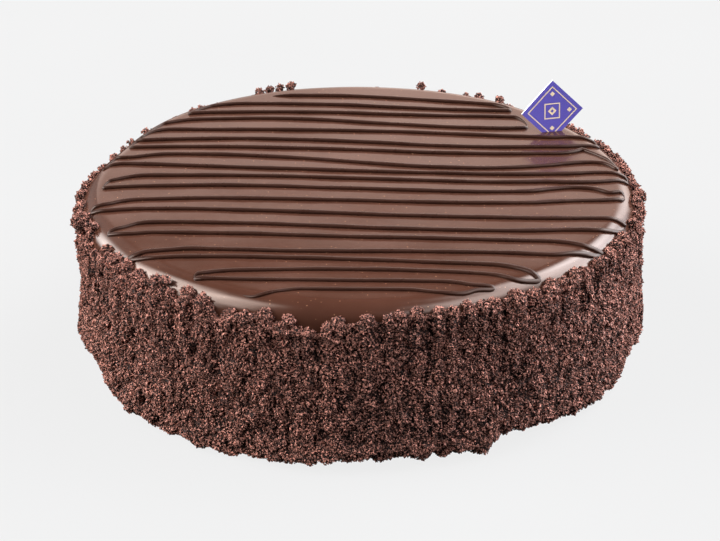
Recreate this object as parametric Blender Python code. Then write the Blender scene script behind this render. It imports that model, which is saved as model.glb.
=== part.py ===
"""A prague cake: a round chocolate cake whose side is coated with cake crumbs.

A poured chocolate glaze covers the top and runs down behind the rim of the crumb coat. One
continuous bead of darker chocolate is piped over it in a zigzag of twenty passes, and a small
square card stands on its corner in the glaze.

The cake stands on z = 0 with its axis at x = y = 0. The front is at -Y. All sizes below are in
millimetres and degrees; the meshes are made in metres.
"""

import math

import bmesh
import bpy
from mathutils import Matrix, Vector

MM = 0.001
GAP = 0.3  # between pieces that touch
SECTORS = 90  # round the cake

# Crumb-coated cake
WALL_RADIUS = 120.6  # over the crumbs
BASE_RADIUS = 113.5  # the foot is drawn in under the wall
FOOT_HEIGHT = 9.5
FLOOR_RIM = 6.0  # flat underside ends this far in from the foot
RIM_HEIGHT = 66.8  # upper edge of the crumb coat
RIM_RADIUS = 118.7
GROOVE_FLOOR = 58.0  # where the glaze's skirt ends, behind the crumbs

# Where the foot bulges or is drawn in: direction, half width, amount
FOOT_BUMPS = (
    (180, 9, 6.0), (-120, 13, 4.0), (-142, 9, 1.0), (-88, 9, -6.5), (-54, 8, -6.5),
    (-26, 9, 1.5), (0, 8, 5.5), (48, 16, 3.0), (110, 18, -2.5), (150, 12, 2.5),
)
# Where the rim of the crumb coat is high or low: direction, half width, amount
RIM_BUMPS = (
    (-101, 7, -4.2), (-156, 7, -1.9), (-68, 6, -1.8), (-87, 5, -0.9), (-15, 6, -1.2),
    (-40, 18, 1.1), (-134, 11, 1.0), (32, 17, 1.4), (95, 14, -1.0), (150, 18, -1.2),
)
# Where the coat is thin: direction, half width, amount
WALL_BUMPS = ((152, 20, -2.2), (75, 20, -0.6))

# Poured glaze
GLAZE_TOP = 73.5
GLAZE_DOME = 1.2  # the top falls this much from the centre to the shoulder
FLAT_RADIUS = 108.0
SHOULDER = 9.0  # radius of the rounded edge
GLAZE_THICKNESS = 3.5
GLAZE_RADIUS = FLAT_RADIUS + SHOULDER
SHOULDER_HEIGHT = GLAZE_TOP - GLAZE_DOME - SHOULDER  # height of the shoulder's centre
SHOULDER_STEPS = (22, 44, 66, 90)
# Where the edge of the top is out of round: direction, half width, amount
EDGE_BUMPS = ((118, 20, 1.3), (158, 14, -1.6), (62, 14, 1.0))

# Piped bead: its section, and its passes from the back of the cake to the front.
BEAD_WIDTH = 2.8
BEAD_HEIGHT = 1.6
PASS_STEP = 17.0  # between sections on a pass
HOOK_RUN = 16.0  # a pass turns away over this length at each end
HAIRPIN_REACH = 4.0
HAIRPIN_STEPS = 6
BEAD_BEND_IN = 110.0  # outside this radius the bead is drawn in, and stops short of the crumbs
BEAD_SPARE = 3.4
# Each pass: its depth on the middle line, its lean, bow and sway per 100 mm, then its left end
# and how far that hooks back, and its right end and how far that hooks back.
PASSES = (
    (96.5, -5.0, -12.0, -1.5, -39, 0.0, 60, -0.5),
    (85.0, -5.0, -2.0, -1.5, -66, -3.0, 67, 0.5),
    (75.5, -1.0, 0.0, -2.0, -76, -1.0, 69, -0.5),
    (65.0, -3.0, -1.0, -4.0, -86, -3.0, 73, 0.5),
    (54.5, -6.0, -1.5, 0.0, -93, -4.0, 98, 0.0),
    (42.0, -3.5, 0.5, -3.0, -96, 0.0, 100, 0.5),
    (33.0, -3.5, 2.0, -2.0, -99, 0.0, 106, -5.5),
    (19.5, -4.0, 6.5, -5.0, -105, -4.0, 108, -4.0),
    (10.0, -5.0, 5.0, -1.0, -107, -3.0, 110, -1.5),
    (2.0, -2.5, 2.5, -2.0, -105, -4.5, 110, 0.5),
    (-8.5, -1.5, 3.0, -2.5, -107, -1.0, 105, -2.5),
    (-20.5, -1.0, 2.0, -2.0, -107, -2.5, 108, 2.0),
    (-33.5, -4.5, 2.5, -1.5, -109, -0.5, 109, -0.5),
    (-46.5, -3.0, 3.5, -2.0, -100, -3.5, 106, 2.5),
    (-55.5, -4.5, 2.0, -0.5, -102, 0.5, 97, -1.5),
    (-69.0, -4.5, 2.5, 1.0, -86, -2.0, 95, 3.0),
    (-76.5, -6.0, -2.0, -0.5, -90, 2.0, 69, -4.0),
    (-85.0, -5.5, -9.0, 1.0, -63, -2.0, 67, 0.5),
    (-94.5, -7.5, -1.5, 2.0, -65, 0.5, 45, -2.0),
    (-102.0, -1.0, -4.0, 0.0, -44, -2.0, 42, 0.0),
)

# Square card, standing on its corner
CARD_SIDE = 20.0
CARD_THICKNESS = 0.6
CARD_FOOT = (84.9, 55.4)  # where it goes into the glaze
CARD_BURIED = 4.6  # its corner is this far down the card below the glaze
CARD_YAW = 14.8
CARD_LEAN = 3.6


def clear_scene():
    for old in list(bpy.data.objects):
        bpy.data.objects.remove(old, do_unlink=True)


def bumps_at(angle, bumps):
    """Sum of rounded bumps (direction, half width, amount) at a direction in degrees."""
    total = 0.0
    for direction, half_width, amount in bumps:
        away = (angle - direction + 180) % 360 - 180
        total += amount * math.exp(-(away / half_width) ** 2)
    return total


def waves_at(turn, waves):
    """Sum of waves (count round the cake, phase, amount) at a direction in radians."""
    return sum(amount * math.sin(count * turn + phase) for count, phase, amount in waves)


def make_material(name, colour, roughness):
    material = bpy.data.materials.new(name)
    material.use_nodes = True
    shader = material.node_tree.nodes["Principled BSDF"]
    shader.inputs["Base Color"].default_value = (*colour, 1.0)
    shader.inputs["Roughness"].default_value = roughness
    shader.inputs["Metallic"].default_value = 0.0
    return material


def add_object(name, mesh_builder, material):
    """Turn a bmesh in millimetres into a named object in metres, with its faces outward."""
    bmesh.ops.recalc_face_normals(mesh_builder, faces=mesh_builder.faces)
    bmesh.ops.scale(mesh_builder, vec=(MM, MM, MM), verts=mesh_builder.verts)
    mesh = bpy.data.meshes.new(name)
    mesh_builder.to_mesh(mesh)
    mesh_builder.free()
    mesh.shade_smooth()
    mesh.set_sharp_from_angle(angle=math.radians(50))
    mesh.materials.append(material)
    piece = bpy.data.objects.new(name, mesh)
    bpy.context.collection.objects.link(piece)
    return piece


def turned_mesh(profile_at):
    """Sweep a profile round the axis. Its first and last points lie on the axis."""
    shape = bmesh.new()
    columns = []
    first = last = None
    for sector in range(SECTORS):
        turn = 2 * math.pi * sector / SECTORS
        points = profile_at(turn)
        if first is None:
            first = shape.verts.new((0, 0, points[0][1]))
            last = shape.verts.new((0, 0, points[-1][1]))
        columns.append([
            shape.verts.new((radius * math.cos(turn), radius * math.sin(turn), height))
            for radius, height in points[1:-1]
        ])
    for sector, column in enumerate(columns):
        following = columns[(sector + 1) % SECTORS]
        shape.faces.new((first, following[0], column[0]))
        shape.faces.new((last, column[-1], following[-1]))
        for lower in range(len(column) - 1):
            shape.faces.new((
                column[lower], following[lower], following[lower + 1], column[lower + 1],
            ))
    bmesh.ops.triangulate(shape, faces=shape.faces)
    return shape


def wall_radius(turn, height):
    """The crumb coat's outer radius, uneven round the cake and up its side."""
    round_it = bumps_at(math.degrees(turn), WALL_BUMPS)
    round_it += waves_at(turn, ((3, 0.4, 0.35), (8, 2.1, 0.3), (19, 0.7, 0.25)))
    up_it = 0.45 * math.sin(5 * turn + height / 9.0) + 0.3 * math.sin(14 * turn - height / 6.0)
    return WALL_RADIUS + round_it + up_it


def foot_radius(turn):
    angle = math.degrees(turn)
    return BASE_RADIUS + bumps_at(angle, FOOT_BUMPS) + waves_at(turn, ((13, 0.3, 0.4),))


def rim_height(turn):
    angle = math.degrees(turn)
    lumps = waves_at(turn, ((11, 1.0, 0.45), (26, 0.2, 0.4)))
    return RIM_HEIGHT + bumps_at(angle, RIM_BUMPS) + lumps


def edge_scale(turn):
    """How far the edge of the top is out of round at a direction, as a factor."""
    return 1 + bumps_at(math.degrees(turn), EDGE_BUMPS) / GLAZE_RADIUS


def shoulder_point(angle, offset=0.0):
    """A point on the glaze's rounded edge, its angle in degrees measured from the vertical."""
    reach = SHOULDER + offset
    return (
        FLAT_RADIUS + reach * math.sin(math.radians(angle)),
        SHOULDER_HEIGHT + reach * math.cos(math.radians(angle)),
    )


def cake_profile(turn):
    """From the centre of the underside, up the crumbs, over the rim and under the glaze."""
    foot = foot_radius(turn)
    rim = rim_height(turn)
    foot_side = foot + 0.6 * (wall_radius(turn, 0) - foot)
    wall = [(0, 0), (foot - FLOOR_RIM, 0), (foot - 0.8, 0), (foot, 0.8)]
    wall.append((foot_side, 0.45 * FOOT_HEIGHT))
    wall += [(wall_radius(turn, z), z) for z in (FOOT_HEIGHT, 21, 33, 45, 56)]
    wall.append((wall_radius(turn, 61) - 0.2, 61))
    points = [(RIM_RADIUS + 1.3, max(rim - 1.4, 61.3)), (RIM_RADIUS, rim)]
    # The coat meets the glaze on its shoulder, or on its skirt where the rim is low.
    meeting = min(max((rim - 0.6 - SHOULDER_HEIGHT) / (SHOULDER + GAP), 0.0), 1.0)
    start = math.degrees(math.acos(meeting))
    radius, height = shoulder_point(start, GAP)
    points.append((radius, min(height, rim - 0.6)))
    radius, height = shoulder_point((start + 90) / 2, GAP)
    points.append((radius, min(height, rim - 1.0)))
    points.append((GLAZE_RADIUS + GAP, min(SHOULDER_HEIGHT, rim - 1.4)))
    groove_floor = GROOVE_FLOOR - GAP
    inner_wall = GLAZE_RADIUS - GLAZE_THICKNESS - GAP
    points += [(GLAZE_RADIUS + GAP, groove_floor), (inner_wall, groove_floor)]
    inset = -(GLAZE_THICKNESS + GAP)
    points += [shoulder_point(angle, inset) for angle in (90, 45, 0)]
    points.append((0, GLAZE_TOP + inset))
    scale = edge_scale(turn)
    return wall + [(radius * scale, height) for radius, height in points]


def dome_height(radius):
    return GLAZE_TOP - GLAZE_DOME * (radius / FLAT_RADIUS) ** 2


def glaze_profile(turn):
    """The outside from the middle of the top down to the skirt, then back up the inside."""
    points = [(radius, dome_height(radius)) for radius in (0, 55, 85, FLAT_RADIUS)]
    points += [shoulder_point(angle) for angle in SHOULDER_STEPS]
    points.append((GLAZE_RADIUS, GROOVE_FLOOR))
    points.append((GLAZE_RADIUS - GLAZE_THICKNESS, GROOVE_FLOOR))
    points += [shoulder_point(angle, -GLAZE_THICKNESS) for angle in (90, 45, 0)]
    points.append((0, GLAZE_TOP - GLAZE_THICKNESS))
    scale = edge_scale(turn)
    return [(radius * scale, height) for radius, height in points]


def surface_height(x, y):
    """Height of the glaze at a place on the top or the shoulder."""
    radius = math.hypot(x, y) / edge_scale(math.atan2(y, x))
    if radius <= FLAT_RADIUS:
        return dome_height(radius)
    reach = min(radius - FLAT_RADIUS, 0.98 * SHOULDER)
    return SHOULDER_HEIGHT + math.sqrt(SHOULDER ** 2 - reach ** 2)


def surface_normal(x, y):
    step = 0.05
    slope_x = (surface_height(x + step, y) - surface_height(x - step, y)) / (2 * step)
    slope_y = (surface_height(x, y + step) - surface_height(x, y - step)) / (2 * step)
    return Vector((-slope_x, -slope_y, 1.0)).normalized()


def pass_depth(sizes, x):
    """How far back a pass lies at x: a leaning, bowed line that hooks at both ends."""
    depth, lean, bow, sway, left, left_hook, right, right_hook = sizes
    along = x / 100
    line = depth + lean * along + bow * along ** 2 + sway * math.sin(math.pi * along)
    left_part = max(0.0, 1 - (x - left) / HOOK_RUN)
    right_part = max(0.0, 1 - (right - x) / HOOK_RUN)
    return line + left_hook * left_part ** 2 + right_hook * right_part ** 2


def pass_points(sizes):
    """Points from the pass's left end to its right, closer together on its hooks."""
    left, right = sizes[4], sizes[6]
    hook_steps = (0, 4, 9, HOOK_RUN)
    middle = right - left - 2 * HOOK_RUN
    count = max(2, round(middle / PASS_STEP))
    stations = [left + step for step in hook_steps]
    stations += [left + HOOK_RUN + middle * number / count for number in range(1, count)]
    stations += [right - step for step in reversed(hook_steps)]
    return [Vector((x, pass_depth(sizes, x))) for x in stations]


def hairpin(before, end, start, after):
    """The turn from one pass into the next, leaving each along its own direction."""
    out_handle = end + (end - before).normalized() * HAIRPIN_REACH
    in_handle = start + (start - after).normalized() * HAIRPIN_REACH
    points = []
    for number in range(1, HAIRPIN_STEPS):
        t = number / HAIRPIN_STEPS
        points.append(
            end * (1 - t) ** 3 + out_handle * 3 * t * (1 - t) ** 2
            + in_handle * 3 * t ** 2 * (1 - t) + start * t ** 3
        )
    return points


def keep_on_top(point):
    over = point.length - BEAD_BEND_IN
    if over <= 0:
        return point
    return point * ((BEAD_BEND_IN + BEAD_SPARE * math.tanh(over / BEAD_SPARE)) / point.length)


def zigzag_path():
    """The whole bead from the back left to the front left, as points on the plan."""
    path = []
    for number, sizes in enumerate(PASSES):
        leg = pass_points(sizes)
        if number % 2:
            leg.reverse()
        if path:
            path += hairpin(path[-2], path[-1], leg[0], leg[1])
        path += leg
    return [keep_on_top(point) for point in path]


def zigzag_mesh():
    """Sweep the bead's five-sided section along the path, a gap above the glaze."""
    half = BEAD_WIDTH / 2
    section = (
        (-half, 0), (-0.72 * half, 0.62 * BEAD_HEIGHT), (0, BEAD_HEIGHT),
        (0.72 * half, 0.62 * BEAD_HEIGHT), (half, 0),
    )
    path = zigzag_path()
    shape = bmesh.new()
    rings = []
    for number, point in enumerate(path):
        ahead = path[min(number + 1, len(path) - 1)]
        behind = path[max(number - 1, 0)]
        normal = surface_normal(point.x, point.y)
        along = (ahead - behind).normalized()
        side = normal.cross(Vector((along.x, along.y, 0))).normalized()
        centre = Vector((point.x, point.y, surface_height(point.x, point.y)))
        rings.append([
            shape.verts.new(centre + side * across + normal * (GAP + up))
            for across, up in section
        ])
    corners = len(section)
    for ring, following in zip(rings, rings[1:]):
        for corner in range(corners):
            beside = (corner + 1) % corners
            shape.faces.new((ring[corner], ring[beside], following[beside], following[corner]))
    shape.faces.new(rings[0])
    shape.faces.new(rings[-1])
    bmesh.ops.triangulate(shape, faces=shape.faces)
    return shape


def card_placement():
    """Where the card's centre stands: turned on its corner, leaning back a little."""
    turn = Matrix.Rotation(math.radians(CARD_YAW), 4, "Z")
    lean = Matrix.Rotation(math.radians(-CARD_LEAN), 4, "X")
    corner_down = Matrix.Rotation(math.radians(45), 4, "Y")
    above_glaze = CARD_SIDE / math.sqrt(2) - CARD_BURIED
    foot = Vector((*CARD_FOOT, surface_height(*CARD_FOOT)))
    centre = foot + (turn @ lean) @ Vector((0, 0, above_glaze))
    return Matrix.Translation(centre) @ turn @ lean @ corner_down


def card_mesh(growth=0.0):
    """The card, or with growth the shape of the slot that it stands in."""
    shape = bmesh.new()
    bmesh.ops.create_cube(shape, size=1.0)
    side = CARD_SIDE + 2 * growth
    bmesh.ops.scale(shape, vec=(side, CARD_THICKNESS + 2 * growth, side), verts=shape.verts)
    bmesh.ops.transform(shape, matrix=card_placement(), verts=shape.verts)
    return shape


def cut_slot(piece, cutter):
    slot = piece.modifiers.new("card_slot", "BOOLEAN")
    slot.operation = "DIFFERENCE"
    slot.solver = "EXACT"
    slot.object = cutter


def make_cake():
    clear_scene()
    crumb = make_material("chocolate_crumb", (0.045, 0.017, 0.011), 0.85)
    glaze = make_material("chocolate_glaze", (0.105, 0.045, 0.028), 0.3)
    bead = make_material("piped_chocolate", (0.07, 0.028, 0.018), 0.3)
    card = make_material("card", (0.1, 0.06, 0.38), 0.5)
    cake_piece = add_object("crumb_coated_cake", turned_mesh(cake_profile), crumb)
    glaze_piece = add_object("poured_glaze", turned_mesh(glaze_profile), glaze)
    add_object("piped_zigzag", zigzag_mesh(), bead)
    add_object("corner_card", card_mesh(), card)
    cutter = add_object("card_slot_cutter", card_mesh(growth=GAP), card)
    cutter.hide_render = True
    cutter.display_type = "WIRE"
    cut_slot(glaze_piece, cutter)
    cut_slot(cake_piece, cutter)


make_cake()
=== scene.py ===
import math

import bmesh
import bpy
import numpy as np
from mathutils import Matrix, Vector


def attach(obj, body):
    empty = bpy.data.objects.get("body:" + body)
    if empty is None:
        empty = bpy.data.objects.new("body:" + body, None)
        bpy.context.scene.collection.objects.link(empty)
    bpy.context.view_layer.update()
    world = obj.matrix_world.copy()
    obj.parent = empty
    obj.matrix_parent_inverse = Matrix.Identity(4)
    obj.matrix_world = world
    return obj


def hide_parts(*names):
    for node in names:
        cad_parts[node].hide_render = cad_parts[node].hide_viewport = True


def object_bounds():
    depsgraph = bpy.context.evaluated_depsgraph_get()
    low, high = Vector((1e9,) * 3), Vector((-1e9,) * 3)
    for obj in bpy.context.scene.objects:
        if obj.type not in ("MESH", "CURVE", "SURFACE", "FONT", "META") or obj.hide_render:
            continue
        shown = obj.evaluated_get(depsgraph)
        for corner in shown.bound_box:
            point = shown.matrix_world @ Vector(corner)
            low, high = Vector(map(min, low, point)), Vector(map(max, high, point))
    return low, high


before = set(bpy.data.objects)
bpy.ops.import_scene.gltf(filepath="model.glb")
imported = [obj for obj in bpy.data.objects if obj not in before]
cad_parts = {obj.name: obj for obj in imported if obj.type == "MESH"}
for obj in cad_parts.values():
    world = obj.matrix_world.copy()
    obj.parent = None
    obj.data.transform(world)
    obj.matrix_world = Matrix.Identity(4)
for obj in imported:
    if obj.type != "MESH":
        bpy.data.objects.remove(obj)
CAD_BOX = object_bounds()

# Sizes are in millimetres and angles in degrees unless a comment says otherwise. The cake stands
# on z = 0 with its axis at x = y = 0, and its front is at -Y.
MM = 0.001

# Outline of the crumb coat and the glaze, close to that of the imported solids. The bumps, dips,
# swells and clumps below were chosen from places that programs worked out of the photo.
WALL_RADIUS = 120.6
BASE_RADIUS = 113.5
FOOT_HEIGHT = 9.5
RIM_HEIGHT = 66.8
RIM_RADIUS = 118.7
GLAZE_TOP = 73.5
GLAZE_DOME = 1.2
FLAT_RADIUS = 108.0
SHOULDER = 9.0
GLAZE_RADIUS = FLAT_RADIUS + SHOULDER
SHOULDER_HEIGHT = GLAZE_TOP - GLAZE_DOME - SHOULDER
SKIRT_FOOT = 58.5
# Bumps round the cake: direction, half width, amount
FOOT_BUMPS = (
    (180, 9, 6), (-120, 13, 4), (-142, 9, 1), (-88, 9, -6.5), (-54, 8, -6.5),
    (-26, 9, 1.5), (0, 8, 5.5), (48, 16, 3), (110, 18, -2.5), (150, 12, 2.5),
)
RIM_BUMPS = (
    (-101, 7, -4.2), (-156, 7, -1.9), (-68, 6, -1.8), (-87, 5, -0.9), (-15, 6, -1.2),
    (-40, 18, 1.1), (-134, 11, 1), (32, 17, 1.4), (95, 14, -1), (150, 18, -1.2),
    (154, 13, -1.8),
)
# Where crumbs have come off the glaze or climb further up it
RIM_DIPS = (
    (-161.5, 4.5, -3.6), (-134, 16, -1.3), (-135, 1.6, -1), (-117, 2.5, -3), (-112.5, 1.5, -1),
    (-106, 1.5, -1.2), (-98.5, 4, -0.9), (-88, 5, 2.8), (-80, 6, 2), (-72, 6, 3.2),
    (-65, 5, 1.8),
)
LOWEST_RIM = 62.0
WALL_BUMPS = ((152, 20, -2.2), (75, 20, -0.6))
EDGE_BUMPS = ((118, 20, 1.3), (158, 14, -3.2), (62, 14, 1.0))
# Waves round the cake: how many, phase, amount
WALL_WAVES = ((3, 0.4, 0.35), (8, 2.1, 0.3), (19, 0.7, 0.25))
FOOT_WAVES = ((13, 0.3, 0.4),)
RIM_WAVES = ((11, 1.0, 0.45), (26, 0.2, 0.4))
SLANTED_WAVES = ((5, 9.0, 0.45), (14, -6.0, 0.3))  # how many, height per radian, amount

# Crumb coat: the core under the crumbs, coloured near-black as painted shade between them, and its
# relief
COAT_SEED = 2411
CORE_SECTORS = 640
CORE_ROWS = 64
WALL_LEVELS = (FOOT_HEIGHT, 15, 21, 27, 33, 39, 45, 51, 56)
TOP_LEVEL = 61  # the wall is drawn in a little from here up
FOOT_LIFT = 0.4  # the underside stands this far off the floor
FOOT_REACH = 6.0  # and reaches this far in
FOOT_ROUND = (0.8, 1.0)  # its corner is rounded by this much, in and up
FOOT_FLARE = (0.6, 0.45)  # the foot's middle, as shares of the way out and up to the wall
LIP = 1.3  # the coat bulges out this far below its rim
LIP_DROP = 1.4
RIM_DEPTH = 0.6  # from the rim down to where the coat meets the glaze
UNDER_GLAZE = (2.5, 3.0)  # the coat ends this far in from there, and this far below its rim
BOX_SPARE = 0.02
CORE_SPARE = 1.4  # the core stays this far inside the box, so that crumbs cover it there too
CORE_INSET = 3.3  # the core lies this far inside the coat's outline
KNOT_COUNT = 4400
KNOT_RADIUS = (1.2, 3.1)
LUMPY_SIDE = (-134, 26, 0.45)  # direction, half width, and how much larger the knots are there
KNOT_RISE = 0.75  # height of a knot of crumbs over its radius, and its share of that
KNOT_SHARE = (0.6, 1.0)
GRIT = 0.3
RIDGE_RISE = 2.5  # the clumps on the rim run on down the side as ridges
RIDGE_DROP = 15.0  # which fade over this height
# Where the coat swells or thins: direction, height, half widths of both, amount
SWELLS = (
    (168, 62, 9, 16, -4.2), (156, 62, 8, 14, -2.6), (180, 37, 12, 9, -3), (180, 8, 10, 9, 3.8),
    (18, 62, 12, 14, -2.8), (0, 32, 12, 14, 1.5), (0, 9, 9, 10, 4), (-28, 4, 6, 6, 3),
    (-104, 3, 10, 6, 4), (-122, 3, 5, 6, 3.2), (-38, 3, 5, 5, 2.3), (-67, 3, 5, 5, 3.4),
    (-164, 4, 7, 7, -1.8), (-90, 3, 9, 6, 5.3), (-80, 3, 4, 6, 1.8), (-64.5, 3, 2, 5, 3),
    (-58.5, 4, 3, 5, -3.6), (-138, 3, 8, 6, 3.8), (-151, 3, 4, 5, 1.6),
)

# Crumbs of each kind: diameters, how many, how far they stand out of the coat in diameters, and
# the share of the coat that they lie on, the part that stands proud
COARSE_CRUMBS = ((1.6, 2.3), 14000, (-0.1, 0.35), 0.9)
MIDDLE_CRUMBS = ((1.1, 1.6), 24000, (-0.2, 0.3), 1.0)
FINE_CRUMBS = ((0.9, 1.35), 49000, (0.0, 0.7), 0.95)
LOOSE_CRUMBS = ((0.85, 1.25), 49000, (0.2, 0.9), 0.75)
RIM_SHARE = 0.15  # of the crumbs lie on the clumps of the rim
PROUD_BLUR = 0.4  # a crumb may lie this far below that part
CRUMB_KNOBS = 0.25  # how rough a crumb is, as a share of its size
CRUMB_STRETCH = (0.72, 1.3)
CRUMB_CELL = 0.75  # size of the grains, pores and patches of its colour
PORE_SIZE = 0.58
PATCH_SIZE = 14.0
# Linear colours of the crumbs: the darkest, the middle and the lightest of each kind
# The core and the middles of the rim clumps take these near-black tones, as painted shade in the
# gaps between the crumbs
CORE_SHADE_TONES = ((0.012, 0.0055, 0.0045), (0.03, 0.0135, 0.0105), (0.07, 0.031, 0.024))
# The dark tones go on the middle crumbs, which lie lowest in the coat, as painted shade under the
# other crumbs
DARK_TONES = ((0.02, 0.009, 0.007), (0.08, 0.036, 0.027), (0.2, 0.09, 0.067))
MIDDLE_TONES = ((0.08, 0.034, 0.026), (0.27, 0.117, 0.088), (0.41, 0.178, 0.134))
LIGHT_TONES = ((0.2, 0.085, 0.064), (0.29, 0.124, 0.093), (0.37, 0.159, 0.119))

# Clumps along the rim of the coat
RIM_CLUMPS = 120
RIM_CLUMP_SIZE = (1.2, 2.5)
RIM_CLUMP_STRAY = (-0.9, 0.7)  # in and out from RIM_CLUMP_INSET inside the rim
RIM_CLUMP_INSET = 0.9
RIM_CLUMP_LIFT = (-0.7, 0.5)  # down and up from RIM_CLUMP_SINK of its radius below the rim
RIM_CLUMP_SINK = 0.55
CLUMP_BODY = 1.7  # diameter of a clump's middle, near-black as painted shade under its crumbs, over the clump's radius
CLUMP_KNOBS = 0.2
CLUMP_COVER = 0.5  # the crumbs on a clump stand about this far over it
CLUMP_REACH = (0.72, 1.02)  # they lie at this share of its radius, more of them on top
CLUMP_UPWARD = 0.35
# Clumps that stand up over the glaze's edge: direction, distance from the axis, top, radius
TALL_CLUMPS = (
    (110.2, 118.3, 72, 1.7), (112.6, 118.3, 71.9, 1.4), (105.3, 118.3, 73, 1.7),
    (107.8, 118.3, 72.3, 1.4), (86, 118.3, 68.9, 1.1), (76, 118.3, 72.5, 1.5),
    (65.5, 118.3, 69.6, 1.7), (62.5, 118.3, 70.8, 1.7), (57.3, 118.3, 71.8, 1.6),
    (54.5, 118.3, 68.8, 1.1), (34.5, 118.3, 69.2, 2.4), (27, 118.3, 69.2, 2.6),
    (24, 118.3, 69.4, 2.6), (20, 118.3, 69, 2.8), (17, 118.3, 68.6, 2.8), (13, 117.3, 69.5, 2.4),
    (9, 117, 69.5, 2.2), (4, 116.5, 69.5, 2), (-1, 119, 70.5, 2.4), (-5, 116.5, 70.5, 2.4),
    (-15, 117, 70, 2), (-23, 117, 71, 2), (-27, 117, 71, 2), (-30, 117, 70, 2),
    (-35.5, 117, 69.5, 2), (-40, 117, 69.3, 2.3), (-43, 117, 71, 1.9), (-46, 117, 69.5, 1.7),
    (-49.5, 117, 71, 2.7), (-54, 117, 69, 3), (-58, 117, 71, 3.7), (-63, 117, 70, 2),
    (-69, 117, 71.5, 1.3), (-103.5, 117, 67.4, 2.1), (-108, 117, 68.8, 3),
    (-112, 117.3, 66.5, 2.5), (-115, 117.3, 66.3, 2.1), (-121.5, 117, 69.3, 3.1),
    (-125, 117, 71, 2.4), (-133, 117, 70.8, 3.4), (-138.5, 117, 69.5, 2.6),
    (-142.5, 117, 70.5, 2.4), (-146.5, 117, 70.5, 2.8), (-151, 116.5, 70.5, 1.8),
    (-130.5, 117, 72.2, 1.5), (-160, 116, 68, 2.6), (-161, 115.8, 72, 2.6), (-166, 118, 72, 4),
    (-173.5, 116.5, 70, 2.6), (180, 116.5, 69.5, 2), (175, 116, 69, 1.7), (127.5, 118.3, 69, 1),
    (143.5, 118.3, 68, 1.2), (149, 117.5, 67, 1.3), (152.5, 116.8, 66.6, 1.4),
    (157, 116, 66.2, 1.8),
)

# Glaze
GLAZE_SECTORS = 360
GLAZE_RINGS = 44
SHOULDER_RINGS = 22
GLAZE_SINK = 0.12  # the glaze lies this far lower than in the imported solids, for its swells
# Slow swells of the poured top: length, heading, phase, amount
GLAZE_SWELLS = (
    (95, 20, 0.3, 0.10), (61, 75, 1.9, 0.07), (43, 130, 4.0, 0.05), (31, 165, 2.2, 0.03),
)
# Linear colours of the chocolate, deep and pale, then roughness and shine
GLAZE_COLOURS = ((0.039, 0.0147, 0.009), (0.048, 0.0183, 0.0115))
# The piped bead is the same chocolate as the glaze, yet its colours are about half as light, as
# painted shade for the dark faces at its front
BEAD_SHADED_COLOURS = ((0.019, 0.0073, 0.0048), (0.024, 0.0092, 0.006))
GLAZE_FINISH = (0.14, 0.5)
BEAD_FINISH = (0.26, 0.21)
SPECK_COLOUR = (0.34, 0.18, 0.1)
SHINE_TINT = (1.0, 0.8, 0.7, 1.0)

# Piped bead
BEAD_SEED = 77
BEAD_WIDTH = 2.4
BEAD_HEIGHT = 1.2
# Half of the bead's section, from its foot to its rounded top, in half widths and heights
BEAD_HALF = (
    (0.93, -0.05), (0.96, 0.12), (1.0, 0.3), (0.99, 0.48), (0.93, 0.68), (0.77, 0.86),
    (0.45, 0.97),
)
BEAD_BACK = 0.7  # the lines below are of its dark front edge, which lies this far in front
PASS_STEP = 2.2  # from point to point
HOOK_RUN = 16.0  # the hook of an end starts this far from it
HAIRPIN_REACH = (4.0, 2.0)  # at the right and at the left
NOSE_THIN = 0.85  # the bead is thinner by this share where it turns
SHARP_TURNS = -75.0  # in front of this depth the turns at the right are as thick as the rest
HAIRPIN_STEPS = 12
BEAD_BEND_IN = 113.0  # past this radius the turns are drawn in
BEAD_SPARE = 3.0  # and go on for no more than this
# Each pass: its depth on the middle line, its lean, bow and sway per 100 mm, then its left end
# and how far that hooks back, and its right end and how far that hooks back. A program traced
# the lines in the photo and fitted the first four, rounded to a half.
PASSES = (
    (96.5, -5, -12, -1.5, -39, 0, 60, -0.5),
    (85, -5, -2, -1.5, -66, -3, 67, 0.5),
    (75.5, -1, 0, -2, -76, -1, 69, -0.5),
    (65, -3, -1, -4, -86, -3, 73, 0.5),
    (54.5, -6, -1.5, 0, -93, 0, 98, 0),
    (42, -3.5, 0.5, -3, -96, 0, 100, 0),
    (33, -3.5, 2, -2, -99, 0, 106, 0),
    (19.5, -4, 6.5, -5, -105, 0, 108, 0),
    (10, -5, 5, -1, -107, 0, 110, 0),
    (2, -2.5, 2.5, -2, -105, -4.5, 110, 0),
    (-8.5, -1.5, 3, -2.5, -107, -1, 105, 0),
    (-20.5, -1, 2, -2, -107, 0, 108, 0),
    (-33.5, -4.5, 2.5, -1.5, -109, 0, 109, 0),
    (-46.5, -3, 3.5, -2, -100, 0, 106, 0),
    (-55.5, -4.5, 2, -0.5, -102, 0, 97, 0),
    (-69, -4.5, 2.5, 1, -86, 0, 95, 0),
    (-76.5, -6, -2, -0.5, -90, 0, 69, 0),
    (-85, -5.5, -9, 1, -63, -2, 67, 0),
    (-94.5, -7.5, -1.5, 2, -63.5, 0.5, 45, 0),
    (-102, -1, -4, 0, -44, 0, 42, 0),
)
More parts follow.
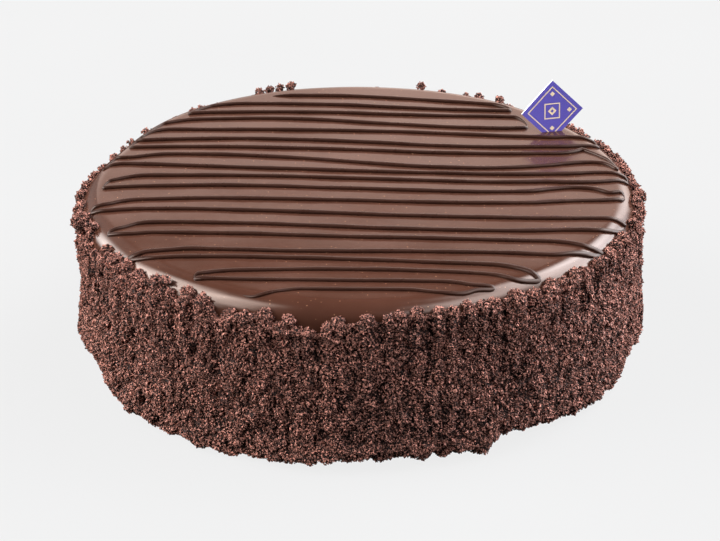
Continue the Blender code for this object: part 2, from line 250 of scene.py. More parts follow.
# Ends that wander off those lines, as points along and in depth, from left to right. They were
# read off the photo, and a program turned them into millimetres.
END_RUN = 9.0  # from the last point of an end to the line
LEFT_ENDS = {
    5: ((-96, 50), (-95, 51.5), (-91.5, 55.5)),
    8: ((-104, 27), (-97, 27.3), (-92, 28.5)),
    9: ((-109, 16), (-106.5, 18.8), (-103, 20)),
    12: ((-109, -22.7), (-104, -21.3), (-99, -19)),
    13: ((-110, -27), (-105.5, -28.2), (-98.5, -27.5)),
    14: ((-99, -46), (-96, -44.6), (-90.5, -41.5)),
    15: ((-101.5, -49.2), (-98, -50.7), (-93, -51)),
    16: ((-89, -68.7), (-83.5, -67.5), (-75.5, -66.5)),
    17: ((-92, -69.5), (-86.5, -72), (-81.5, -73.2)),
    20: ((-45, -104.3), (-41, -105.8), (-37.5, -105.5), (-32, -104)),
}
RIGHT_ENDS = {
    5: ((92, 49.5), (102, 48.5)),
    6: ((98, 39.5), (102.5, 39.5)),
    7: ((90, 31.5), (94.5, 33.5), (97, 35.3), (100, 33), (107, 25.5)),
    8: ((89.5, 20), (97, 21.3), (102.5, 21.3), (106, 20), (109.5, 16.5)),
    9: ((99.5, 10.5), (106, 10.7), (112, 10)),
    10: ((88, 0), (102, 1), (112, 3.5)),
    11: ((80.5, -7.5), (91, -5.5), (98, -6.3), (103, -8.7), (105, -10.2), (108.5, -9)),
    12: ((80, -20.3), (90, -19), (101, -18), (108.5, -16.8)),
    13: ((86, -36.3), (99.5, -35.8), (108, -36)),
    14: ((91.5, -47.2), (100.5, -47), (105, -44.5), (107.5, -42)),
    15: ((81, -58.8), (87.5, -60.4), (92, -62.3), (96, -62)),
    16: ((70, -70.6), (80, -70.8), (85.5, -69.2), (92.5, -66.6), (96.5, -64.3)),
    17: ((56, -81.3), (61.5, -83), (65.5, -85), (68.5, -87)),
    18: ((56, -90.5), (60, -92.6), (64, -92.8), (68, -91.5)),
    19: ((36, -96), (41, -97.3), (45, -98.6), (49, -98.6)),
    20: ((29, -104.3), (36, -105), (41, -104.4), (46, -101.8), (50, -100.8)),
}
THIN_FRONT = 0.2  # the passes nearest the front are thinner by this share
THIN_FROM = 75.0  # in front of the middle, growing over THIN_OVER
THIN_OVER = 25.0
BEAD_TAPER = 9.0  # length over which the bead's two free ends run out
# How the bead swells and thins along its length: length per radian, phase, share
BEAD_WAVES = ((13.0, 0.0, 0.05), (4.1, 1.0, 0.04))
BEAD_ROUGH = 0.03

# Card, standing on its corner
CARD_SIDE = 20.0
CARD_THICKNESS = 0.6
CARD_FOOT = (85.2, 56.8)  # where it stands
CARD_BURIED = 4.6  # its lowest corner is this deep in the cake
CARD_YAW = 14.8
CARD_LEAN = 3.6
CARD_BOW = 0.35  # how far its middle stands back from its corners
CARD_STEPS = 16
# Gold lines on the card: half side, width, and turn of each square, then its middle
GOLD_SQUARES = (
    (8.1, 0.45, 0, (0, 0)), (3.6, 0.5, 45, (0, 0)), (1.4, 0.8, 0, (0, 0)),
    (0.8, 0.8, 0, (5.6, 5.6)), (0.8, 0.8, 0, (-5.6, 5.6)), (0.8, 0.8, 0, (5.6, -5.6)),
)
GOLD_RISE = 0.04
# Linear colours of the card: deep and pale
CARD_COLOURS = ((0.094, 0.073, 0.37), (0.108, 0.086, 0.41))
EDGE_COLOURS = ((0.6, 0.58, 0.56), (0.75, 0.73, 0.7))
GOLD_COLOURS = ((0.72, 0.56, 0.36), (0.82, 0.66, 0.44))

# Camera
AIM = (0.56, -0.48, 32.0)
CAMERA_DISTANCE = 1200.0
CAMERA_ELEVATION = 25.67
LENS = 139.985
SENSOR = 36.0

# Floor: it is pale by a glow of its own, because it takes no part in lighting the cake
FLOOR_SIZE = 12000.0
FLOOR_TONE = 0.02
FLOOR_GLOW = 0.817

# Studio light: azimuth (0 is +Y, the back, and 90 is +X) and elevation of each glow, its half
# width and half height, its soft edge, and its radiance. They were changed from a plan
# that a program made, by fitting single lights to the photo's colours.
GLOWS = (
    (-90, 37, 23, 17, 11, 12), (-76, 13, 26, 13, 10, 11), (-120, 37, 15, 21, 8, 7.5),
    (61, 48, 28, 15, 15, 12.5), (74, 14, 24, 17, 12, 11), (36, 22, 15, 13, 10, 3.3),
    (36, 39, 12, 11, 6, 3.5), (115, 54, 23, 14, 10, 8), (151, 45, 10, 8, 6, 3.8),
    (103, 7, 35, 9, 6, 4.8), (-106, 7, 18, 9, 6, 4.8), (-42, 24, 24, 24, 12, 0.5),
)
# Panels: azimuth, elevation, distance, width, height, radiance
PANELS = (
    (9, 13.4, 720, 940, 422, 1.25), (22, 7, 720, 560, 230, 0.5), (18, 11, 740, 520, 370, 0.25),
)
PANEL_COLOUR = (1.0, 0.81, 0.73)
PANEL_AIM = (0, 0, 60)
COOL_RIGHT = 1.1  # the blue of the glows at the right, against 1 at the left
COOL_FROM = -20.0
COOL_TO = 50.0
COOL_GREEN = 0.4


# -------- outline


def bumps_at(turn, bumps):
    """Sum of rounded bumps at directions in radians."""
    angle = np.degrees(turn)
    total = np.zeros_like(angle)
    for direction, half_width, amount in bumps:
        away = (angle - direction + 180) % 360 - 180
        total += amount * np.exp(-(away / half_width) ** 2)
    return total


def waves_at(turn, waves):
    """Sum of waves (count round the cake, phase, amount) at directions in radians."""
    return sum(amount * np.sin(count * turn + phase) for count, phase, amount in waves)


def wall_radius(turn, height):
    round_it = bumps_at(turn, WALL_BUMPS) + waves_at(turn, WALL_WAVES)
    up_it = sum(
        amount * np.sin(count * turn + height / rise) for count, rise, amount in SLANTED_WAVES)
    return WALL_RADIUS + round_it + up_it


def foot_radius(turn):
    return BASE_RADIUS + bumps_at(turn, FOOT_BUMPS) + waves_at(turn, FOOT_WAVES)


def rim_height(turn):
    height = RIM_HEIGHT + bumps_at(turn, RIM_BUMPS + RIM_DIPS) + waves_at(turn, RIM_WAVES)
    return np.maximum(height, LOWEST_RIM)


def edge_scale(turn):
    return 1 + bumps_at(turn, EDGE_BUMPS) / GLAZE_RADIUS


def surface_height(x, y):
    """Height of the glaze on the top or the shoulder."""
    radius = np.hypot(x, y) / edge_scale(np.arctan2(y, x))
    flat = GLAZE_TOP - GLAZE_DOME * (radius / FLAT_RADIUS) ** 2
    reach = np.clip(radius - FLAT_RADIUS, 0, 0.98 * SHOULDER)
    rounded = SHOULDER_HEIGHT + np.sqrt(SHOULDER ** 2 - reach ** 2)
    return np.where(radius <= FLAT_RADIUS, flat, rounded)


def surface_normal(x, y):
    step = 0.05
    slope_x = (surface_height(x + step, y) - surface_height(x - step, y)) / (2 * step)
    slope_y = (surface_height(x, y + step) - surface_height(x, y - step)) / (2 * step)
    return unit(np.stack([-slope_x, -slope_y, np.ones_like(slope_x)], axis=-1))


def unit(vectors):
    return vectors / np.linalg.norm(vectors, axis=-1, keepdims=True)


# -------- meshes


def add_mesh(name, points, faces, material, smooth=True):
    """A mesh object from arrays: points in millimetres, faces that all have as many corners."""
    mesh = bpy.data.meshes.new(name)
    corners = faces.shape[1]
    mesh.vertices.add(len(points))
    mesh.vertices.foreach_set("co", (points * MM).astype(np.float32).ravel())
    mesh.loops.add(faces.size)
    mesh.loops.foreach_set("vertex_index", faces.astype(np.int32).ravel())
    mesh.polygons.add(len(faces))
    mesh.polygons.foreach_set("loop_start", np.arange(0, faces.size, corners, dtype=np.int32))
    mesh.update(calc_edges=True)
    if smooth:
        mesh.shade_smooth()
    else:
        mesh.shade_flat()
    mesh.materials.append(material)
    piece = bpy.data.objects.new(name, mesh)
    bpy.context.collection.objects.link(piece)
    return piece


def place(piece, slot, *nodes):
    """Tie a piece to the body and hide the solids that it stands for."""
    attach(piece, "root")
    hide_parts(*nodes)


def grid_faces(columns, rows):
    """Quads of a grid that closes round the cake, its points stored column by column."""
    column = np.arange(columns)[:, None]
    row = np.arange(rows - 1)[None, :]
    here = column * rows + row
    there = (column + 1) % columns * rows + row
    return np.stack([here, there, there + 1, here + 1], axis=-1).reshape(-1, 4)


# -------- node materials


def new_material(name):
    material = bpy.data.materials.new(name)
    material.use_nodes = True
    return material, material.node_tree, material.node_tree.nodes["Principled BSDF"]


def add_node(tree, kind, **settings):
    node = tree.nodes.new("ShaderNode" + kind)
    for key, value in settings.items():
        if hasattr(node, key):
            setattr(node, key, value)
        else:
            node.inputs[key.replace("_", " ").title()].default_value = value
    return node


def object_place(tree):
    return add_node(tree, "TexCoord").outputs["Object"]


def noise(tree, where, size, detail=2.0):
    """Noise whose features are about this many millimetres across."""
    node = add_node(tree, "TexNoise", Scale=1 / (size * MM), Detail=detail)
    tree.links.new(where, node.inputs["Vector"])
    return node.outputs["Fac"]


def cells(tree, where, size):
    """Voronoi cells of about this many millimetres."""
    node = add_node(tree, "TexVoronoi", Scale=1 / (size * MM))
    tree.links.new(where, node.inputs["Vector"])
    return node


def ramp(tree, value, stops):
    """A colour ramp from (position, linear colour) stops."""
    node = add_node(tree, "ValToRGB")
    elements = node.color_ramp.elements
    while len(elements) < len(stops):
        elements.new(0.5)
    for element, (position, colour) in zip(elements, stops):
        element.position = position
        element.color = (*colour, 1.0)
    tree.links.new(value, node.inputs["Fac"])
    return node.outputs["Color"]


def grey(level):
    return (level, level, level)


def mixed(tree, factor, first, second, blend="MIX"):
    node = add_node(tree, "Mix", data_type="RGBA", blend_type=blend)
    for socket, value in ((0, factor), (6, first), (7, second)):
        if isinstance(value, (int, float)):
            node.inputs[socket].default_value = value
        elif isinstance(value, tuple):
            node.inputs[socket].default_value = (*value, 1.0)
        else:
            tree.links.new(value, node.inputs[socket])
    return node.outputs[2]


def add_bump(tree, shader, height, distance, strength):
    node = add_node(tree, "Bump", Strength=strength, Distance=distance * MM)
    tree.links.new(height, node.inputs["Height"])
    tree.links.new(node.outputs["Normal"], shader.inputs["Normal"])


def crumb_material(name, dark, middle, light):
    """Crumb whose tone changes from grain to grain, with painted shade in its pores and painted
    light on the web between them.
    """
    material, tree, shader = new_material(name)
    where = object_place(tree)
    tone = cells(tree, where, CRUMB_CELL)
    spread = add_node(tree, "SeparateColor")
    tree.links.new(tone.outputs["Color"], spread.inputs["Color"])
    colour = ramp(tree, spread.outputs["Red"], ((0.0, dark), (0.5, middle), (1.0, light)))
    pores = noise(tree, where, PORE_SIZE, 1.5)
    # The pits of the pores are painted near-black as shade, and the raised web between them up to
    # a third lighter as painted light; the bump below dents the same pits
    pore_shade = ramp(tree, pores, ((0.44, grey(0.01)), (0.5, grey(1.0)), (0.62, grey(1.3))))
    colour = mixed(tree, 1.0, colour, pore_shade, "MULTIPLY")
    patch = noise(tree, where, PATCH_SIZE, 3.0)
    shade = ramp(tree, patch, ((0.35, grey(0.85)), (0.65, grey(1.15))))
    tree.links.new(mixed(tree, 1.0, colour, shade, "MULTIPLY"), shader.inputs["Base Color"])
    rough = ramp(tree, spread.outputs["Green"], ((0.0, grey(0.55)), (1.0, grey(0.95))))
    tree.links.new(rough, shader.inputs["Roughness"])
    shader.inputs["Specular IOR Level"].default_value = 0.18
    add_bump(tree, shader, pores, 0.5, 1.0)
    return material


def glaze_material(name, deep, pale, roughness, shine, specks):
    """Set chocolate glaze: satin, slightly cloudy, with a few light specks."""
    material, tree, shader = new_material(name)
    where = object_place(tree)
    cloud = noise(tree, where, 22.0, 4.0)
    colour = ramp(tree, cloud, ((0.3, deep), (0.7, pale)))
    if specks:
        spot = cells(tree, where, 1.8)
        near = ramp(tree, spot.outputs["Distance"], ((0.07, grey(1.0)), (0.14, grey(0.0))))
        spread = add_node(tree, "SeparateColor")
        tree.links.new(spot.outputs["Color"], spread.inputs["Color"])
        chosen = ramp(tree, spread.outputs["Red"], ((0.62, grey(0.0)), (0.95, grey(1.0))))
        mask = mixed(tree, 1.0, near, chosen, "MULTIPLY")
        colour = mixed(tree, mask, colour, SPECK_COLOUR)
    tree.links.new(colour, shader.inputs["Base Color"])
    levels = ((0.3, grey(roughness)), (0.7, grey(roughness + 0.06)))
    rough = ramp(tree, noise(tree, where, 6.0, 3.0), levels)
    tree.links.new(rough, shader.inputs["Roughness"])
    shader.inputs["IOR"].default_value = 1.5
    shader.inputs["Specular IOR Level"].default_value = shine
    shader.inputs["Specular Tint"].default_value = SHINE_TINT
    add_bump(tree, shader, noise(tree, where, 2.5, 3.0), 0.05, 0.25)
    return material


def card_material(name, deep, pale, roughness):
    """Coated card: a faint grain in its colour and surface."""
    material, tree, shader = new_material(name)
    fibre = noise(tree, object_place(tree), 0.4, 2.0)
    colour = ramp(tree, fibre, ((0.3, deep), (0.7, pale)))
    tree.links.new(colour, shader.inputs["Base Color"])
    shader.inputs["Roughness"].default_value = roughness
    add_bump(tree, shader, fibre, 0.02, 0.3)
    return material


def floor_material():
    material, tree, shader = new_material("pale_floor")
    tones = ((0.3, grey(0.9 * FLOOR_TONE)), (0.7, grey(1.1 * FLOOR_TONE)))
    colour = ramp(tree, noise(tree, object_place(tree), 300.0), tones)
    tree.links.new(colour, shader.inputs["Base Color"])
    shader.inputs["Roughness"].default_value = 0.9
    shader.inputs["Specular IOR Level"].default_value = 0.0
    shader.inputs["Emission Color"].default_value = (1.0, 1.0, 1.0, 1.0)
    shader.inputs["Emission Strength"].default_value = FLOOR_GLOW
    return material


# -------- crumb coat


def coat_profile(turn):
    """The coat's outline at each direction, as radii and heights from its foot to the glaze."""
    foot = foot_radius(turn)
    rim = rim_height(turn)
    scale = edge_scale(turn)
    flat = np.zeros_like(turn)
    low = flat + FOOT_LIFT
    foot_side = foot + FOOT_FLARE[0] * (wall_radius(turn, 0) - foot)
    lie = np.clip((rim - RIM_DEPTH - SHOULDER_HEIGHT) / SHOULDER, 0, 1)
    contact = FLAT_RADIUS + SHOULDER * np.sqrt(1 - lie ** 2)
    points = [
        (foot - FOOT_REACH, low), (foot - FOOT_ROUND[0], low), (foot, flat + FOOT_ROUND[1]),
        (foot_side, flat + FOOT_FLARE[1] * FOOT_HEIGHT),
        *((wall_radius(turn, height), flat + height) for height in WALL_LEVELS),
        (wall_radius(turn, TOP_LEVEL) - 0.2, flat + TOP_LEVEL),
        ((RIM_RADIUS + LIP) * scale, np.maximum(rim - LIP_DROP, TOP_LEVEL + 0.6)),
        (RIM_RADIUS * scale, rim),
        (contact * scale, rim - RIM_DEPTH),
        ((contact - UNDER_GLAZE[0]) * scale, rim - UNDER_GLAZE[1]),
    ]
    return tuple(np.stack(column, axis=1) for column in zip(*points))


def smooth_rows(values, passes):
    """Soften the corners of a profile, its ends held."""
    for _ in range(passes):
        middle = (values[:, :-2] + 2 * values[:, 1:-1] + values[:, 2:]) / 4
        values = np.concatenate([values[:, :1], middle, values[:, -1:]], axis=1)
    return values


def swell_at(turn, height):
    angle = np.degrees(turn)
    total = np.zeros(height.shape)
    for direction, level, half_angle, half_height, amount in SWELLS:
        away = (angle - direction + 180) % 360 - 180
        total += amount * np.exp(-(away / half_angle) ** 2 - ((height - level) / half_height) ** 2)
    return total


def coat_grid():
    """Points and outward directions on the core's base surface, column by column."""
    turn = 2 * math.pi * np.arange(CORE_SECTORS) / CORE_SECTORS
    radii, heights = coat_profile(turn)
    steps = np.hypot(np.diff(radii, axis=1), np.diff(heights, axis=1)).mean(axis=0)
    stations = np.concatenate([[0], np.cumsum(steps)])
    rows = np.linspace(0, stations[-1], CORE_ROWS)
    radius = smooth_rows(np.stack([np.interp(rows, stations, column) for column in radii]), 2)
    height = smooth_rows(np.stack([np.interp(rows, stations, column) for column in heights]), 2)
    rise = np.gradient(height, axis=1)
    run = np.gradient(radius, axis=1)
    length = np.hypot(rise, run)
    cosine, sine = np.cos(turn)[:, None], np.sin(turn)[:, None]
    outward = np.stack([rise * cosine, rise * sine, -run], axis=-1) / length[..., None]
    radius = radius + swell_at(turn[:, None], height)
    base = np.stack([radius * cosine, radius * sine, height], axis=-1)
    return base - CORE_INSET * outward, outward, rows


def knot_relief(rng, rows):
    """Heights of overlapping knots of crumbs, over the grid of the coat."""
    relief = np.zeros((CORE_SECTORS, CORE_ROWS))
    around = 2 * math.pi * WALL_RADIUS / CORE_SECTORS
    along = rows[1] - rows[0]
    reach = int(KNOT_RADIUS[1] * (1 + LUMPY_SIDE[2]) / min(around, along)) + 2
    offsets = np.arange(-reach, reach + 1)
    for _ in range(KNOT_COUNT):
        size = KNOT_RADIUS[0] + (KNOT_RADIUS[1] - KNOT_RADIUS[0]) * rng.random() ** 2
        column = rng.random() * CORE_SECTORS
        size *= 1 + float(bumps_at(np.array(2 * math.pi * column / CORE_SECTORS), (LUMPY_SIDE,)))
        row = rng.random() * CORE_ROWS
        columns = np.round(column).astype(int) + offsets
        lines = np.round(row).astype(int) + offsets
        lines = lines[(lines >= 0) & (lines < CORE_ROWS)]
        across = (columns - column)[:, None] * around
        up = (lines - row)[None, :] * along
        dome = 1 - (across ** 2 + up ** 2) / size ** 2
        dome = KNOT_RISE * size * np.sqrt(np.clip(dome, 0, 1)) * rng.uniform(*KNOT_SHARE)
        block = np.ix_(columns % CORE_SECTORS, lines)
        relief[block] = np.maximum(relief[block], dome)
    return relief


def ridge_relief(base, clumps):
    """Ridges that run down the side from the clumps on the rim."""
    relief = np.zeros(base.shape[:2])
    turn = 2 * math.pi * np.arange(CORE_SECTORS) / CORE_SECTORS
    drop = np.clip(rim_height(turn)[:, None] - base[..., 2], 0, None)
    fade = np.exp(-drop / RIDGE_DROP)
    for x, y, _, size in clumps:
        away = (turn - math.atan2(y, x) + math.pi) % (2 * math.pi) - math.pi
        across = np.exp(-(away * WALL_RADIUS / size) ** 2)
        relief = np.maximum(relief, RIDGE_RISE * across[:, None] * fade)
    return relief


def random_turns(rng, count):
    """Rotation matrices spread evenly over all directions."""
    w, x, y, z = unit(rng.normal(size=(count, 4))).T
    return np.stack([
        1 - 2 * (y * y + z * z), 2 * (x * y - z * w), 2 * (x * z + y * w),
        2 * (x * y + z * w), 1 - 2 * (x * x + z * z), 2 * (y * z - x * w),
        2 * (x * z - y * w), 2 * (y * z + x * w), 1 - 2 * (x * x + y * y),
    ], axis=-1).reshape(count, 3, 3)


def octahedron():
    points = np.array([(1, 0, 0), (-1, 0, 0), (0, 1, 0), (0, -1, 0), (0, 0, 1), (0, 0, -1)], float)
    faces = []
    for x in (0, 1):
        for y in (2, 3):
            for z in (4, 5):
                faces.append((x, y, z) if (x + y + z) % 2 == 0 else (y, x, z))
    return points, np.array(faces)


def tetrahedron():
    points = np.array([(1, 1, 1), (1, -1, -1), (-1, 1, -1), (-1, -1, 1)], float)
    return unit(points), np.array([(0, 1, 2), (0, 3, 1), (0, 2, 3), (1, 3, 2)])


def icosahedron():
    """Its sides are 2 long before it is scaled, and no other distance is under 3."""
    golden = (1 + math.sqrt(5)) / 2
    points = []
    for a in (-1, 1):
        for b in (-golden, golden):
            points += [(0, a, b), (a, b, 0), (b, 0, a)]
    points = np.array(points, float)
    faces = []
    for i in range(12):
        for j in range(i + 1, 12):
            for k in range(j + 1, 12):
                sides = (points[i] - points[j], points[j] - points[k], points[k] - points[i])
                if max(np.linalg.norm(side) for side in sides) < 3:
                    outward = np.dot(np.cross(-sides[0], sides[2]), points[i])
                    faces.append((i, j, k) if outward > 0 else (i, k, j))
    return unit(points), np.array(faces)


def scatter(rng, shape, centres, diameters, knobbly):
    """Copies of a small shape, each turned, stretched and roughened on its own."""
    corners, faces = shape
    count = len(centres)
    knobs = 1 + knobbly * rng.uniform(-1, 1, (count, len(corners), 1))
    stretch = rng.uniform(*CRUMB_STRETCH, (count, 1, 3))
    local = corners[None] * knobs * stretch * (diameters / 2)[:, None, None]
    turned = np.einsum("nij,nkj->nki", random_turns(rng, count), local)
    points = turned + centres[:, None]
    copies = faces[None] + len(corners) * np.arange(count)[:, None, None]
    return points.reshape(-1, 3), copies.reshape(-1, 3)


def keep_inside(points, spare=BOX_SPARE):
    """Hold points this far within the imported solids' own box, and above the floor."""
    low = np.array(CAD_BOX[0]) / MM + (spare, spare, BOX_SPARE)
    high = np.array(CAD_BOX[1]) / MM - spare
    return np.clip(points, low, high)


def spots_on(rng, surface, outward, relief, count):
    """Evenly strewn places on the coat, each at random within its share of it."""
    lines = round(math.sqrt(count * (CORE_ROWS - 1) / CORE_SECTORS))
    columns = count // lines
    column, line = np.meshgrid(np.arange(columns), np.arange(lines), indexing="ij")
    column = (column.ravel() + rng.random(columns * lines)) / columns * CORE_SECTORS
    line = (line.ravel() + rng.random(columns * lines)) / lines * (CORE_ROWS - 1.001)
    i, j = np.minimum(column.astype(int), CORE_SECTORS - 1), line.astype(int)
    a, b = (column - i)[:, None], (line - j)[:, None]
    after = (i + 1) % CORE_SECTORS
    spots = surface[i, j] * (1 - a) * (1 - b) + surface[after, j] * a * (1 - b)
    spots += surface[i, j + 1] * (1 - a) * b + surface[after, j + 1] * a * b
    return spots, outward[i, j], relief[i, j]


def high_spots_on(rng, surface, outward, relief, count, share):
    """Places on the share of the coat that stands proud."""
    spots, normals, level = spots_on(rng, surface, outward, relief, int(count / share))
    order = np.argsort(-level - rng.uniform(0, PROUD_BLUR, len(level)))[:count]
    return spots[order], normals[order]


def clump_centres(rng):
    """Centres and radii of the clumps on the rim."""
    turn = 2 * math.pi * (np.arange(RIM_CLUMPS) + rng.uniform(-0.4, 0.4, RIM_CLUMPS)) / RIM_CLUMPS
    size = rng.uniform(*RIM_CLUMP_SIZE, RIM_CLUMPS)
    radius = RIM_RADIUS - RIM_CLUMP_INSET + rng.uniform(*RIM_CLUMP_STRAY, RIM_CLUMPS)
    radius = radius * edge_scale(turn)
    height = rim_height(turn) - RIM_CLUMP_SINK * size
    height += rng.uniform(*RIM_CLUMP_LIFT, RIM_CLUMPS)
    rows = [np.stack([radius * np.cos(turn), radius * np.sin(turn), height, size], axis=-1)]
    for direction, radius, top, size in TALL_CLUMPS:
        turn = math.radians(direction)
        middle = top - size - CLUMP_COVER
        rows.append([[radius * math.cos(turn), radius * math.sin(turn), middle, size]])
    return np.concatenate(rows)


def on_clumps(rng, clumps, count):
    """Random places on the clumps, in proportion to their surface."""
    share = clumps[:, 3] ** 2
    which = rng.choice(len(clumps), count, p=share / share.sum())
    outward = unit(rng.normal(size=(count, 3)) + (0, 0, CLUMP_UPWARD))
    reach = clumps[which, 3] * rng.uniform(*CLUMP_REACH, count)
    return clumps[which, :3] + outward * reach[:, None], outward


def add_crumbs(name, points, faces, tone, smooth=False):
    place(add_mesh(name, points, faces, tone, smooth), "crumb", "crumb_coated_cake")


def make_crumb_coat():
    rng = np.random.default_rng(COAT_SEED)
    base, outward, rows = coat_grid()
    clumps = clump_centres(rng)
    relief = knot_relief(rng, rows) + ridge_relief(base, clumps)
    grit = GRIT * rng.uniform(-1, 1, relief.shape)
    surface = base + outward * (relief + grit)[..., None]

    # The core and the clumps' middles are painted near-black, as shade in the gaps between the
    # crumbs
    core_shade_tone = crumb_material("crumb_core_shade", *CORE_SHADE_TONES)
    points = keep_inside(surface.reshape(-1, 3), CORE_SPARE)
    add_crumbs("crumb_core_shade", points, grid_faces(CORE_SECTORS, CORE_ROWS), core_shade_tone, True)
    points, faces = scatter(
        rng, icosahedron(), clumps[:, :3], CLUMP_BODY * clumps[:, 3], CLUMP_KNOBS)
    add_crumbs("crumb_clumps", keep_inside(points, CORE_SPARE), faces, core_shade_tone)

    dark_tone = crumb_material("crumb_dark", *DARK_TONES)
    middle_tone = crumb_material("crumb_middle", *MIDDLE_TONES)
    light_tone = crumb_material("crumb_light", *LIGHT_TONES)
    # The middle crumbs, which lie lowest in the coat, take the dark tones as painted shade under
    # the other crumbs
    kinds = (
        ("crumbs_coarse", COARSE_CRUMBS, octahedron(), middle_tone),
        ("crumbs_middle", MIDDLE_CRUMBS, octahedron(), dark_tone),
        ("crumbs_fine", FINE_CRUMBS, tetrahedron(), middle_tone),
        ("crumbs_loose", LOOSE_CRUMBS, tetrahedron(), light_tone),
    )
    for name, (sizes, count, lift, share), shape, tone in kinds:
        on_rim = int(RIM_SHARE * count)
        spots, normals = high_spots_on(rng, surface, outward, relief, count - on_rim, share)
        rim_spots, rim_normals = on_clumps(rng, clumps, on_rim)
        spots = np.concatenate([spots, rim_spots])
        normals = np.concatenate([normals, rim_normals])
        diameters = rng.uniform(*sizes, len(spots))
        rise = rng.uniform(*lift, len(spots)) * diameters
        centres = spots + normals * rise[:, None]
        points, faces = scatter(rng, shape, centres, diameters, CRUMB_KNOBS)
        add_crumbs(name, keep_inside(points), faces, tone)


# -------- glaze


def glaze_swell(x, y):
    """Slow unevenness of the poured top."""
    total = np.zeros_like(x)
    for length, heading, phase, amount in GLAZE_SWELLS:
        along = x * math.cos(math.radians(heading)) + y * math.sin(math.radians(heading))
        total += amount * np.sin(2 * math.pi * along / length + phase)
    return total


def make_glaze():
    turn = 2 * math.pi * np.arange(GLAZE_SECTORS) / GLAZE_SECTORS
    flat = np.linspace(1.0, FLAT_RADIUS, GLAZE_RINGS)
    lie = np.radians(np.linspace(0, 90, SHOULDER_RINGS + 1)[1:])
    radius = np.concatenate([flat, FLAT_RADIUS + SHOULDER * np.sin(lie), [GLAZE_RADIUS]])
    height = np.concatenate([
        GLAZE_TOP - GLAZE_DOME * (flat / FLAT_RADIUS) ** 2,
        SHOULDER_HEIGHT + SHOULDER * np.cos(lie), [SKIRT_FOOT],
    ])
    radii = radius[None] * edge_scale(turn)[:, None]
    x = radii * np.cos(turn)[:, None]
    y = radii * np.sin(turn)[:, None]
    fade = np.clip((height - SHOULDER_HEIGHT) / SHOULDER, 0, 1)[None]
    z = height[None] + (glaze_swell(x, y) - GLAZE_SINK) * fade
    points = np.stack([x, y, z], axis=-1).reshape(-1, 3)
    rings = len(radius)
    faces = grid_faces(GLAZE_SECTORS, rings)[:, ::-1]
    innermost = np.arange(GLAZE_SECTORS) * rings
    centre = np.full(GLAZE_SECTORS, len(points))
    points = np.concatenate([points, [[0, 0, z[:, 0].mean()]]])
    material = glaze_material("chocolate_glaze", *GLAZE_COLOURS, *GLAZE_FINISH, specks=True)
    piece = add_mesh("glaze", points, faces, material)
    add_cap(piece, np.stack([centre, innermost, np.roll(innermost, -1)], axis=-1))
    place(piece, "glaze", "poured_glaze")


def add_cap(piece, triangles):
    """Close the middle of a turned mesh with triangles on points that it has."""
    builder = bmesh.new()
    builder.from_mesh(piece.data)
    builder.verts.ensure_lookup_table()
    for corners in triangles:
        face = builder.faces.new([builder.verts[int(corner)] for corner in corners])
        face.smooth = True
    builder.to_mesh(piece.data)
    builder.free()


# -------- piped zigzag


def pass_depth(sizes, x):
    depth, lean, bow, sway, left, left_hook, right, right_hook = sizes
    along = x / 100
    line = depth + lean * along + bow * along ** 2 + sway * np.sin(math.pi * along)
    left_part = np.maximum(0, 1 - (x - left) / HOOK_RUN)
    right_part = np.maximum(0, 1 - (right - x) / HOOK_RUN)
    return line + left_hook * left_part ** 2 + right_hook * right_part ** 2


def pass_points(number, sizes):
    """Points along a pass from left to right, its ends as the lists above say."""
    left_end = LEFT_ENDS.get(number, ())
    right_end = RIGHT_ENDS.get(number, ())
    start = left_end[-1][0] + END_RUN if left_end else sizes[4]
    stop = right_end[0][0] - END_RUN if right_end else sizes[6]
    x = np.linspace(start, stop, round((stop - start) / PASS_STEP) + 1)
    line = np.stack([x, pass_depth(sizes, x)], axis=-1)
    return through(np.array([*left_end, *line, *right_end], float))


def through(knots):
    """A smooth line through points, in steps of about the same length."""
    reach = np.linalg.norm(np.diff(knots, axis=0), axis=1)
    stations = np.concatenate([[0], np.cumsum(reach)])
    slopes = np.gradient(knots, stations, axis=0)
    points = [knots[:1]]
    for i, length in enumerate(reach):
        steps = max(1, round(length / PASS_STEP))
        t = (np.arange(1, steps + 1) / steps)[:, None]
        points.append(
            knots[i] * (2 * t ** 3 - 3 * t ** 2 + 1) + knots[i + 1] * (3 * t ** 2 - 2 * t ** 3)
            + length * (slopes[i] * (t ** 3 - 2 * t ** 2 + t) + slopes[i + 1] * (t ** 3 - t ** 2)))
    return np.concatenate(points)


def hairpin(before, end, start, after, reach):
    """The turn from one pass into the next, leaving each along its own direction."""
    out_handle = end + unit(end - before) * reach
    in_handle = start + unit(start - after) * reach
    t = (np.arange(1, HAIRPIN_STEPS) / HAIRPIN_STEPS)[:, None]
    return (
        end * (1 - t) ** 3 + out_handle * 3 * t * (1 - t) ** 2
        + in_handle * 3 * t ** 2 * (1 - t) + start * t ** 3
    )


def keep_on_top(path):
    radius = np.linalg.norm(path, axis=1, keepdims=True)
    over = np.maximum(radius - BEAD_BEND_IN, 0)
    wanted = BEAD_BEND_IN + BEAD_SPARE * np.tanh(over / BEAD_SPARE)
    return np.where(radius > BEAD_BEND_IN, path * wanted / radius, path)


def zigzag_path():
    legs = []
    for number, sizes in enumerate(PASSES, 1):
        leg = pass_points(number, sizes)
        if number % 2 == 0:
            leg = leg[::-1]
        if legs:
            last = legs[-1]
            legs.append(hairpin(last[-2], last[-1], leg[0], leg[1], HAIRPIN_REACH[number % 2]))
        legs.append(leg)
    return keep_on_top(np.concatenate(legs) + (0, BEAD_BACK))


def bead_section():
    """A bead and its underside, as (across, up) in half widths and heights."""
    left = [(-across, up) for across, up in BEAD_HALF]
    right = list(reversed(BEAD_HALF))
    return np.array([*left, (0.0, 1.0), *right, (0.8, -0.3), (0.0, -0.35), (-0.8, -0.3)])


